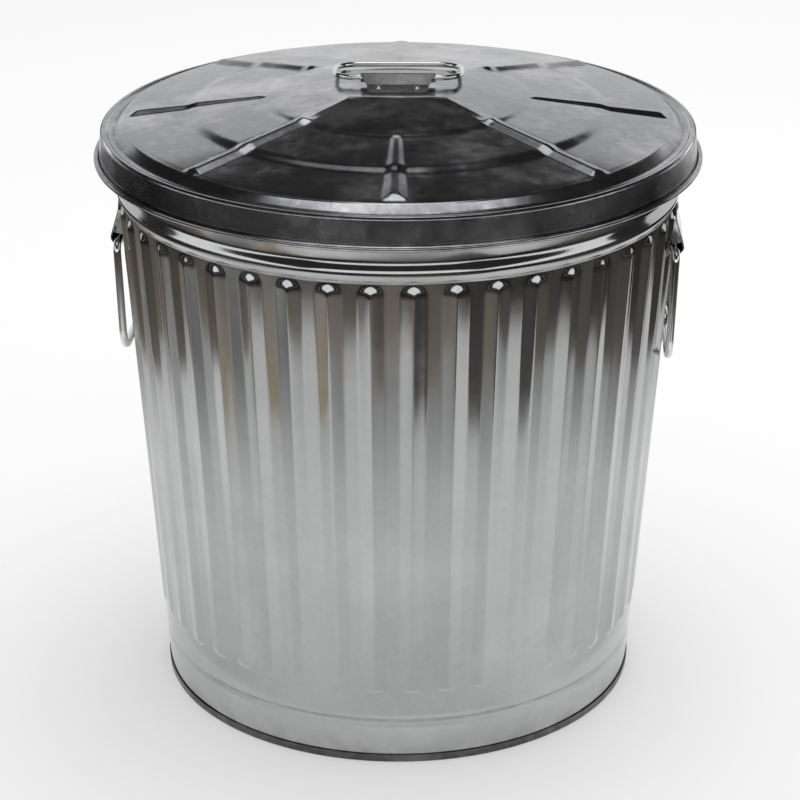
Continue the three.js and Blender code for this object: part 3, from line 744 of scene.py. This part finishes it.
def ear_rows(side):
    """The leaf on the wall, which leaves it and curls round the bail from outside and below."""
    tube = (EAR_TUBE_OUT, EAR_TUBE_HEIGHT)
    bend = (leaf_out(EAR_BEND), EAR_BEND)
    start = touch_angle(bend, tube, EAR_CURL)
    curl = arc(*tube, EAR_CURL, start, -90 - EAR_LIP, 24)
    leaf = softened([(leaf_out(EAR_TOP), EAR_TOP), bend, curl[0]], 3.0, 8)
    line = np.vstack([leaf[:-1], curl])
    half = np.interp(line[:, 1], [EAR_BEND, EAR_TOP], [EAR_WIDTH / 2, EAR_TOP_WIDTH / 2])
    half[len(leaf) :] = EAR_WIDTH / 2

    def place(out, up, across):
        up = np.broadcast_to(up, across.shape)
        return np.stack([side * np.broadcast_to(out, across.shape), side * across, up], -1)

    return strip_rows(line, half, EAR_SHEET, place)


def ear_side_rows(side, end):
    """The folded side of an ear: a thin four-cornered plate between leaf, tube and wall."""
    low = EAR_TUBE_HEIGHT + EAR_CURL * EAR_SIDE_LOW
    tube_edge = EAR_TUBE_OUT + EAR_CURL * EAR_SIDE_REACH
    out = np.array([leaf_out(EAR_BEND), tube_edge, leaf_out(low), leaf_out(EAR_BEND)])
    out[2:] -= EAR_SIDE_DEPTH
    up = np.array([EAR_BEND, low, low, EAR_BEND])
    edge = np.array([EAR_SIDE_WALL_EDGE, EAR_SIDE_OUTER_EDGE, EAR_SIDE_WALL_EDGE, EAR_SIDE_WALL_EDGE])
    face = EAR_WIDTH / 2 + edge
    rows = [np.column_stack([side * out, side * end * (face - back), up]) for back in (0, EAR_SIDE_SHEET)]
    return np.array(rows)


def side_bail_rows(side):
    """The side bail, hanging from its hinge line and leaning in to the ribs."""
    down = (-side * math.sin(BAIL_LEAN), 0, -math.cos(BAIL_LEAN))
    loop = wire_loop(BAIL_WIDTH, BAIL_DROP, BAIL_TOP_CORNER, BAIL_GRIP_CORNER)
    return wire_rows(loop, BAIL_WIRE, (side * HINGE_OUT, 0, BAIL_HINGE), (0, side, 0), down)


def ear_rivet_rows(side, across):
    """A rivet through the leaf and the wall, square to the handle line."""
    seat = leaf_out(EAR_RIVET_HEIGHT) + EAR_SHEET / 2 + GAP
    head = EAR_RIVET * RIVET_HEAD_FACTOR
    wall_inside = wall_middle(EAR_RIVET_HEIGHT) - SHEET / 2
    reach = math.sqrt(wall_inside**2 - (abs(across) + head) ** 2) - 2 * GAP
    place = (side * seat, side * across, EAR_RIVET_HEIGHT)
    return rivet_rows(EAR_RIVET, seat - reach, RIVET_HEAD, place, (side, 0, 0))


for hand, side in (("right", 1), ("left", -1)):
    fitted(f"ear_{hand}", "can", ear_rows(side), fitting_zinc, grime_and_shade=0.15)
    for number, end in enumerate((-1, 1), 1):
        ear_side = skin(f"ear_side_{hand}_{number}", ear_side_rows(side, end), fitting_zinc)
        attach(ear_side, "can")
    fitted(f"bail_{hand}", f"bail_{hand}", side_bail_rows(side), wire_zinc)
    for number, across in enumerate((-EAR_RIVET_SPREAD / 2, EAR_RIVET_SPREAD / 2), 1):
        rows = ear_rivet_rows(side, across)
        fitted(f"ear_rivet_{hand}_{number}", "can", rows, fitting_zinc)

# ---------------------------------------------------------------- lid


def lid_turned(rows):
    """Turns the lid's points by the little that the lid is turned on the can."""
    turn = np.array([[math.cos(LID_TURN), math.sin(LID_TURN)], [-math.sin(LID_TURN), math.cos(LID_TURN)]])
    return np.concatenate([rows[..., :2] @ turn, rows[..., 2:]], -1)


def boss_edge(angle):
    """Distance from the axis to the square boss's edge in a direction."""
    from_side = angle - np.round(angle / (2 * EIGHTH)) * 2 * EIGHTH
    return BOSS_HALF / np.cos(from_side)


def rib_over_panel(rib, radius, offset):
    """Height of a lid rib at a radius and a distance from its middle line.

    The lesser of the share of its flank and that of its run-out, with rounded ends, times its
    depth, which shrinks with its width towards its inner end.
    """
    start, end, depth, inner_half, outer_half, flat = rib
    half = inner_half + (outer_half - inner_half) * ramp(radius, start, end)
    flank = ramp(np.abs(offset), half, half * flat)
    run = np.minimum(ramp(radius, start, start + RIB_RUN_OUT), ramp(radius, end, end - RIB_RUN_OUT))
    return depth * half / outer_half * rounded(np.minimum(flank, run), RIB_BEND)


def panel_rise(angle, radius):
    """Height of the panel over the flat on the can's rim.

    The panel runs straight from the square boss to its round edge and sags a little between them;
    round steps let it down, and a rib stands on each of the eight lines from the middle.
    """
    eighth = np.round(angle / EIGHTH)
    offset = radius * np.sin(angle - eighth * EIGHTH)
    down = ramp(radius, boss_edge(angle), PANEL_RADIUS)
    rise = BOSS_RISE + (PANEL_EDGE_RISE - BOSS_RISE) * down
    sag = np.minimum(ramp(radius, BOSS_HALF, SAG_RADIUS), ramp(radius, PANEL_RADIUS, SAG_RADIUS))
    rise -= PANEL_SAG * sag
    for start, width, drop in PANEL_STEPS:
        rise -= drop * eased(ramp(radius, start, start + width))
    facet = rib_over_panel(FACET_RIB, radius, offset)
    ridge = rib_over_panel(RIDGE_RIB, radius, offset)
    return rise + np.where(eighth % 2 == 0, facet, ridge)


def ridge_soil_and_shade(angle, radius):
    """Dirt and painted shade in the folds at the feet of the four ridge ribs: a narrow bell across each
    fold.
    """
    start, end, _, inner_half, outer_half, _ = RIDGE_RIB
    eighth = np.round(angle / EIGHTH)
    offset = np.abs(radius * np.sin(angle - eighth * EIGHTH))
    foot = inner_half + (outer_half - inner_half) * ramp(radius, start, end)
    line = bell(offset, foot, RIDGE_FOLD_WIDTH) * (radius > start) * (radius < end)
    return RIDGE_FOLD_SOIL_AND_SHADE * line * (eighth % 2 == 1)


def lid_azimuths(radius):
    """Azimuths for a ring of the lid: half of them close to the middle of a rib."""
    near = np.minimum(np.arcsin(np.minimum(RIB_ZONE / radius, 0.9)), EIGHTH * 0.36)
    share = np.linspace(-1, 1, 64, endpoint=False)
    inner = near * share / 0.5
    outer = np.sign(share) * (near + (EIGHTH / 2 - near) * (np.abs(share) - 0.5) / 0.5)
    within = np.where(np.abs(share) <= 0.5, inner, outer)
    return (np.arange(8)[:, None] * EIGHTH + within[None, :]).ravel()


def lid_edge():
    """The lid outside its panel: cove, flat on the rim, bead, shoulder, skirt and rolled edge.

    Each of the bead's flanks is shorter than two cuts, so its two bends meet in one doubled point.
    The sheet has no surface there, which leaves a thin slit on each flank.
    """
    shoulder = LID_SHOULDER - SHEET / 2
    panel_edge = LID_SEAT + PANEL_EDGE_RISE - sum(drop for _, _, drop in PANEL_STEPS)
    corners = [
        (PANEL_RADIUS - 4, panel_edge),
        (PANEL_RADIUS, panel_edge),
        (LID_SEAT_START, LID_SEAT),
        (LID_SEAT_END, LID_SEAT),
        (LID_SEAT_END + LID_BEAD_FLANK, LID_SEAT + LID_BEAD),
        (shoulder - LID_BEAD_FLANK, LID_SEAT + LID_BEAD),
        (shoulder, LID_SEAT),
        (LID_CURL_MIDDLE - LID_CURL, CURL_MIDDLE),
    ]
    edge = softened(corners, 1.6, 4)[1:-1]
    return np.vstack([edge, arc(LID_CURL_MIDDLE, CURL_MIDDLE, LID_CURL, 180, 468, 16)])


def lid_rows():
    """The lid from the middle of its boss to the end of its rolled edge, and back underneath."""
    inside_boss = np.array([0.02, 0.35, 0.7, 0.9, 0.96, 1.0])
    to_round = np.array([0.025, 0.07, 0.16, 0.3, 0.5, 0.75])
    circles = np.concatenate(
        [
            [99, 101, 103, 104.5, 106, 107.5, 109, 110.5, 112, 114, 118, 125, 133, 141, 149, 156],
            [161, 163, 165, 167, 169, 171, 173, 175, 177, 183, 190, 197, 204, 210, 214, 216, 218, 220],
        ]
    )
    edge = lid_edge()
    rings = []
    for share in inside_boss:
        angle = lid_azimuths(BOSS_HALF)
        rings.append((angle, boss_edge(angle) * share, np.full_like(angle, BOSS_RISE)))
    for share in to_round:
        angle = lid_azimuths(BOSS_HALF + (circles[0] - BOSS_HALF) * share)
        radius = boss_edge(angle) * (1 - share) + circles[0] * share
        rings.append((angle, radius, panel_rise(angle, radius)))
    for circle in circles:
        angle = lid_azimuths(circle)
        radius = np.full_like(angle, circle)
        rings.append((angle, radius, panel_rise(angle, radius)))
    azimuth = np.array([ring[0] for ring in rings] + [lid_azimuths(radius) for radius in edge[:, 0]])
    radius = np.vstack([[ring[1] for ring in rings], np.repeat(edge[:, :1], azimuth.shape[1], 1)])
    height = np.vstack([[ring[2] + LID_SEAT for ring in rings], np.repeat(edge[:, 1:], azimuth.shape[1], 1)])
    path = np.column_stack([radius.mean(1), height.mean(1)])
    shift = right_of(path) * SHEET / 2
    top = surface_points(radius - shift[:, :1], azimuth, height - shift[:, 1:])
    under = surface_points(radius + shift[:, :1], azimuth, height + shift[:, 1:])
    kept = np.unique(np.append(np.arange(0, len(path), 2), len(path) - 1))
    rows = np.concatenate([top, under[kept[::-1]]])
    out, level = path.T
    # darker at the lower part of the rolled edge, dirt and painted shade in the cove and at the shoulder,
    # and the underside darker than the top
    soil_and_shade = 0.4 * (1 - ramp(level, 462, 468))
    for fold, width, amount in LID_FOLDS:
        soil_and_shade += amount * bell(out, fold, width)
    soil_and_shade = np.repeat(soil_and_shade[:, None], azimuth.shape[1], 1) + ridge_soil_and_shade(azimuth, radius)
    return lid_turned(rows), np.concatenate([soil_and_shade, 0.2 + 0.3 * soil_and_shade[kept[::-1]]])


lid_surface, lid_soil_and_shade = lid_rows()
fitted("lid_panel", "lid", lid_surface, lid_zinc, grime_and_shade=lid_soil_and_shade)
lid_ring = ring_rows(LID_CURL_MIDDLE, CURL_MIDDLE, LID_WIRE)
fitted("lid_rim_wire", "lid", lid_ring, wire_zinc, True, 0.3)


def bracket_rows():
    """The bracket: a clipped plate whose back edge rolls into a tube round the loop."""
    hinge = (LID_HINGE_BACK, LID_HINGE_HEIGHT)
    bend = (BRACKET_BEND, band_middle(BRACKET_BEND))
    start = touch_angle(bend, hinge, BRACKET_TUBE)
    curl = arc(*hinge, BRACKET_TUBE, start, start - BRACKET_CURL, 28)
    corner = BRACKET_FRONT + BRACKET_CORNER
    front = [(BRACKET_FRONT, band_middle(BRACKET_FRONT)), (corner, band_middle(corner)), bend, curl[0]]
    plate = softened(front, 1.6, 5)
    line = np.vstack([plate[:-1], curl])
    widths = [BRACKET_FOOT_WIDTH, BRACKET_PLATE_WIDTH, BRACKET_PLATE_WIDTH, BRACKET_TUBE_WIDTH]
    places = [BRACKET_FRONT, corner, BRACKET_BEND, LID_HINGE_BACK - BRACKET_TUBE]
    half = np.interp(line[:, 0], places, np.array(widths) / 2)
    half[len(plate) :] = BRACKET_TUBE_WIDTH / 2

    def place(back, up, across):
        back = np.broadcast_to(back, across.shape)
        return np.stack([across, back, np.broadcast_to(up, across.shape)], -1)

    return lid_turned(strip_rows(line, half, BRACKET_SHEET, place))


def lid_bail_rows():
    """The lid's loop, laid back on the lid."""
    loop = wire_loop(LID_BAIL_WIDTH, LID_BAIL_REACH, LID_BAIL_CORNER, LID_BAIL_CORNER)
    along = (0, math.cos(LID_BAIL_TILT), -math.sin(LID_BAIL_TILT))
    origin = (0, LID_HINGE_BACK, LID_HINGE_HEIGHT)
    return lid_turned(wire_rows(loop, LID_BAIL_WIRE, origin, (1, 0, 0), along))


def lid_rivet_rows(across):
    """A rivet through the bracket's band and the boss, square to the band."""
    axis = np.array([0, -math.sin(BAND_TILT), math.cos(BAND_TILT)])
    lift = BRACKET_SHEET / 2 + GAP
    under_boss = (band_middle(LID_RIVET_LINE) - BOSS_TOP + SHEET) / math.cos(BAND_TILT)
    grip = lift + under_boss + GAP + LID_RIVET * RIVET_HEAD_FACTOR * BRACKET_BAND_SLOPE
    seat = np.array([across, LID_RIVET_LINE, band_middle(LID_RIVET_LINE)]) + axis * lift
    return lid_turned(rivet_rows(LID_RIVET, grip, RIVET_HEAD / 2, seat, axis))


fitted("lid_handle_bracket", "lid", bracket_rows(), bracket_zinc, grime_and_shade=0.1)
fitted("lid_bail", "lid_bail", lid_bail_rows(), wire_zinc)
for number, across in enumerate((-LID_RIVET_SPREAD / 2, LID_RIVET_SPREAD / 2), 1):
    fitted(f"lid_rivet_{number}", "lid", lid_rivet_rows(across), fitting_zinc)

# ---------------------------------------------------------------- studio

SIGHTS = ("camera", "diffuse", "transmission", "volume_scatter", "shadow")  # all but reflections
FLOOR_REACH = 9000
FLOOR_PAINT = (0.8, 0.8, 0.8, 1)
FLOOR_LIFT = 0.25  # light of the floor's own, where it is seen
TABLE_FRONT = 877  # where the pale floor ends in the metal's reflections
TABLE_SIDE = 790
TABLE_EDGE_BLUR = 25
GROUND_START = 260  # reach at which the darker ground begins
GROUND_END = 4000
FAR_GROUND_SPAN = (850, 1350)  # reach over which the ground changes to its far tone
OCHRE_SPAN = (700, 950)  # and over which the ochre fades
RIGHT_GROUND_SPAN = (-2, 25)  # degrees to the right of the front
STREAKS_PER_TURN = 5.1  # light and dark round the can, which its ribs show as streaks
STREAK_TURN = 0.6
STREAK_DEPTH_INSIDE = 0.6
STREAK_DEPTH_OUTSIDE = 0.45
INNER_COVER = 0.14  # how much of the pale floor the ground hides inside its edge, near the can
INNER_COVER_GAIN = 0.41
INNER_COVER_SPAN = (500, 900)
# places where the pale floor's edge comes nearer: degrees to the right of the front, width, amount
FLOOR_EDGE_DENTS = [(-64, 9, -500), (-45, 10, 400), (33, 16, 300)]
LEFT_GROUND = np.array([0.27, 0.235, 0.195])
RIGHT_GROUND = np.array([0.10, 0.093, 0.085])
FAR_GROUND = np.array([0.04, 0.038, 0.037])
OCHRE_MIDDLE = -45  # degrees to the right of the front
OCHRE_WIDTH = 14
OCHRE_LIFT = 0.09
OCHRE_NEAR = np.array([0.0, -0.03, -0.12])
FLOOR_DIMNESS = 0.12  # tone of the darker ground inside the pale floor's edge
PANEL_HEIGHT = 2300  # of the pale panels overhead
SCREEN_BACK = 1500  # of the pale screen behind the can
SCREEN_TOP = 1300
SCREEN_HALF_WIDTH = 3000
ROOM_RADIUS = 4200
ROOM_TONE = (0.030, 0.029, 0.029)


def glowing(name, strength, attribute=None, colour=(1, 1, 1)):
    """A surface with a light of its own, of one colour or with colour and cover from an attribute."""
    material = bpy.data.materials.new(name)
    material.use_nodes = True
    shading = Shading(material.node_tree)
    inputs = {"Strength": strength, "Color": (*colour, 1)}
    if attribute:
        tone = shading.add("ShaderNodeAttribute", attribute_name=attribute)
        inputs["Color"] = tone.outputs["Color"]
    light = shading.add("ShaderNodeEmission", inputs)
    if attribute:
        clear = shading.add("ShaderNodeBsdfTransparent")
        inputs = {0: tone.outputs["Alpha"], 1: clear.outputs[0], 2: light.outputs[0]}
        light = shading.add("ShaderNodeMixShader", inputs)
    shading.add("ShaderNodeOutputMaterial", {"Surface": light.outputs[0]})
    return material


def card(name, rows, material, tones=None):
    """A studio card through a grid of points, which shows only in the metal's reflections."""
    count, around = rows.shape[:2]
    i, k = np.arange(count - 1)[:, None], np.arange(around - 1)[None, :]
    corners = [i * around + k, i * around + k + 1, (i + 1) * around + k + 1, (i + 1) * around + k]
    faces = np.stack(corners, -1).reshape(-1, 4)
    mesh = bpy.data.meshes.new(name)
    mesh.from_pydata((rows.reshape(-1, 3) * MILLIMETRE).tolist(), [], faces.tolist())
    if tones is not None:
        layer = mesh.attributes.new("tone", "FLOAT_COLOR", "POINT")
        layer.data.foreach_set("color", tones.ravel())
    mesh.materials.append(material)
    thing = bpy.data.objects.new(name, mesh)
    bpy.context.scene.collection.objects.link(thing)
    for sight in SIGHTS:
        setattr(thing, f"visible_{sight}", False)
    return thing


def grid(first, second):
    """Two numbers that vary down and along a grid."""
    return np.meshgrid(first, second, indexing="ij")


def in_view(shading):
    """1 for what the camera sees, straight or through a mirroring or clear surface, and 0 elsewhere."""
    path = shading.add("ShaderNodeLightPath").outputs
    seen = shading.math("ADD", path["Is Camera Ray"], path["Is Glossy Ray"])
    return shading.math("ADD", seen, path["Is Transmission Ray"], clamp=True)


# the floor, pale to the eye and in the metal, and seen by all light
floor_material = bpy.data.materials.new("pale_floor")
floor_material.use_nodes = True
shading = Shading(floor_material.node_tree)
seen = in_view(shading)
paint = shading.add("ShaderNodeBsdfDiffuse", {"Color": FLOOR_PAINT})
lift = shading.add("ShaderNodeEmission", {"Strength": shading.math("MULTIPLY", seen, FLOOR_LIFT)})
both = shading.add("ShaderNodeAddShader", {0: paint.outputs[0], 1: lift.outputs[0]})
shading.add("ShaderNodeOutputMaterial", {"Surface": both.outputs[0]})
floor_places = np.linspace(-FLOOR_REACH, FLOOR_REACH, 3)
across, back = grid(floor_places, floor_places)
floor = card("floor", np.stack([across, back, np.zeros_like(across)], -1), floor_material)
for sight in SIGHTS:
    setattr(floor, f"visible_{sight}", True)

# the floor grows dimmer away from the can, and ends in darker ground in front and at the sides
azimuth, share = grid(np.radians(np.linspace(-150, 150, 301)), np.linspace(0, 1, 90))
square = np.maximum(np.abs(np.cos(azimuth)) / TABLE_FRONT, np.abs(np.sin(azimuth)) / TABLE_SIDE)
table_edge = 1 / square
for middle, width, depth in FLOOR_EDGE_DENTS:
    table_edge = table_edge - depth * bell(np.degrees(azimuth), middle, width)
reach = GROUND_START + (GROUND_END - GROUND_START) * share**2.2
beyond = ramp(reach, table_edge - TABLE_EDGE_BLUR, table_edge + TABLE_EDGE_BLUR)[..., None]
far = ramp(reach, *FAR_GROUND_SPAN)[..., None]
rightward = ramp(np.degrees(azimuth), *RIGHT_GROUND_SPAN)[..., None]
near_tone = LEFT_GROUND * (1 - rightward) + RIGHT_GROUND * rightward
ochre = bell(np.degrees(azimuth), OCHRE_MIDDLE, OCHRE_WIDTH)[..., None]
close = 1 - ramp(reach, *OCHRE_SPAN)[..., None]
near_tone = near_tone + ochre * (close * OCHRE_NEAR + OCHRE_LIFT)
wave = np.sin(STREAKS_PER_TURN * azimuth + STREAK_TURN)[..., None]
outer_tone = near_tone * (1 - far) + FAR_GROUND * far
tones = FLOOR_DIMNESS * (1 - beyond) + outer_tone * (1 + STREAK_DEPTH_OUTSIDE * wave) * beyond
inner_cover = INNER_COVER + INNER_COVER_GAIN * eased(ramp(reach, *INNER_COVER_SPAN))
cover = np.maximum(inner_cover[..., None] * (1 + STREAK_DEPTH_INSIDE * wave), beyond)
ground = np.stack([reach * np.sin(azimuth), -reach * np.cos(azimuth), np.full_like(reach, 1.0)], -1)
card("dark_ground", ground, glowing("dark_ground", 1.0, "tone"), np.concatenate([tones, cover], -1))

# a dark room round everything
azimuth, rise = grid(np.linspace(0, FULL_TURN, 73), np.radians(np.linspace(0, 90, 19)))
room = np.stack([np.cos(azimuth) * np.cos(rise), np.sin(azimuth) * np.cos(rise), np.sin(rise)], -1)
card("dark_room", room * ROOM_RADIUS, glowing("dark_room", 1.0, colour=ROOM_TONE))

# a pale screen behind the can
across, up = grid([-SCREEN_HALF_WIDTH, SCREEN_HALF_WIDTH], [0, SCREEN_TOP])
screen = np.stack([across, np.full_like(across, SCREEN_BACK), up], -1)
card("pale_screen", screen, glowing("pale_screen", 0.78))

# pale panels overhead: name, span across, span from front to back, and strength
OVERHEAD_PANELS = [
    ("front_panel", (-1100, 1100), (-1000, -100), 1.3),
    ("middle_panel", (-250, 350), (-100, 1000), 1.5),
    ("back_panel", (-900, 60), (1000, 1500), 0.42),
]
for name, sides, ends, strength in OVERHEAD_PANELS:
    across, back = grid(sides, ends)
    panel = np.stack([across, back, np.full_like(across, PANEL_HEIGHT)], -1)
    card(name, panel, glowing(name, strength))

# low pale screens in front and at both sides, which light the tops of the ribs
LOW_SCREEN_SIDE = 2200
LOW_SCREEN_FRONT = -3300
LOW_SCREEN_END = 100  # where the side screens end, beside the can
FRONT_SCREEN_HEIGHTS = (750, 2050)
SIDE_SCREEN_HEIGHTS = (650, 1500)
low_light = glowing("low_light", 1.15)
across, up = grid([-LOW_SCREEN_SIDE, LOW_SCREEN_SIDE], FRONT_SCREEN_HEIGHTS)
card("low_screen_front", np.stack([across, np.full_like(across, LOW_SCREEN_FRONT), up], -1), low_light)
for name, side in (("low_screen_left", -LOW_SCREEN_SIDE), ("low_screen_right", LOW_SCREEN_SIDE)):
    back, up = grid([LOW_SCREEN_FRONT, LOW_SCREEN_END], SIDE_SCREEN_HEIGHTS)
    card(name, np.stack([np.full_like(back, side), back, up], -1), low_light)

# a soft light overhead, behind the can and to its right, that the metal doesn't mirror
SOFTBOX_WIDTH = 1.05  # in metres, as is its place
SOFTBOX_LENGTH = 1.75
SOFTBOX_PLACE = (0.275, 0.5, 2.3)
SOFTBOX_POWER = 10.0
lamp = bpy.data.lights.new("overhead_softbox", "AREA")
lamp.shape = "RECTANGLE"
lamp.size = SOFTBOX_WIDTH
lamp.size_y = SOFTBOX_LENGTH
lamp.energy = SOFTBOX_POWER
softbox = bpy.data.objects.new("overhead_softbox", lamp)
softbox.location = SOFTBOX_PLACE
softbox.visible_glossy = False
bpy.context.scene.collection.objects.link(softbox)

# white to the eye, and a plain level for the light it gives; the dark room hides it from the metal
WORLD_LIGHT = 0.8
world = bpy.data.worlds.new("studio")
world.use_nodes = True
bpy.context.scene.world = world
shading = Shading(world.node_tree)
level = shading.scaled(in_view(shading), 1 - WORLD_LIGHT, WORLD_LIGHT)
sky = shading.add("ShaderNodeBackground", {"Color": (1, 1, 1, 1), "Strength": level})
shading.add("ShaderNodeOutputWorld", {"Surface": sky.outputs[0]})

scene = bpy.context.scene
scene.view_settings.view_transform = "Standard"

# ---------------------------------------------------------------- camera

CAMERA_PLACE = (113.85, -2074.2, 1121.37)
CAMERA_PITCH = 23.048  # degrees below the horizon
CAMERA_HEADING = 3.1
CAMERA_LENS = 118.4

view = bpy.data.cameras.new("camera")
view.lens = CAMERA_LENS
view.sensor_width = 36.0
view.clip_end = 100.0
camera = bpy.data.objects.new("camera", view)
camera.location = [length * MILLIMETRE for length in CAMERA_PLACE]
camera.rotation_euler = (math.radians(90 - CAMERA_PITCH), 0, math.radians(CAMERA_HEADING))
scene.collection.objects.link(camera)
scene.camera = camera
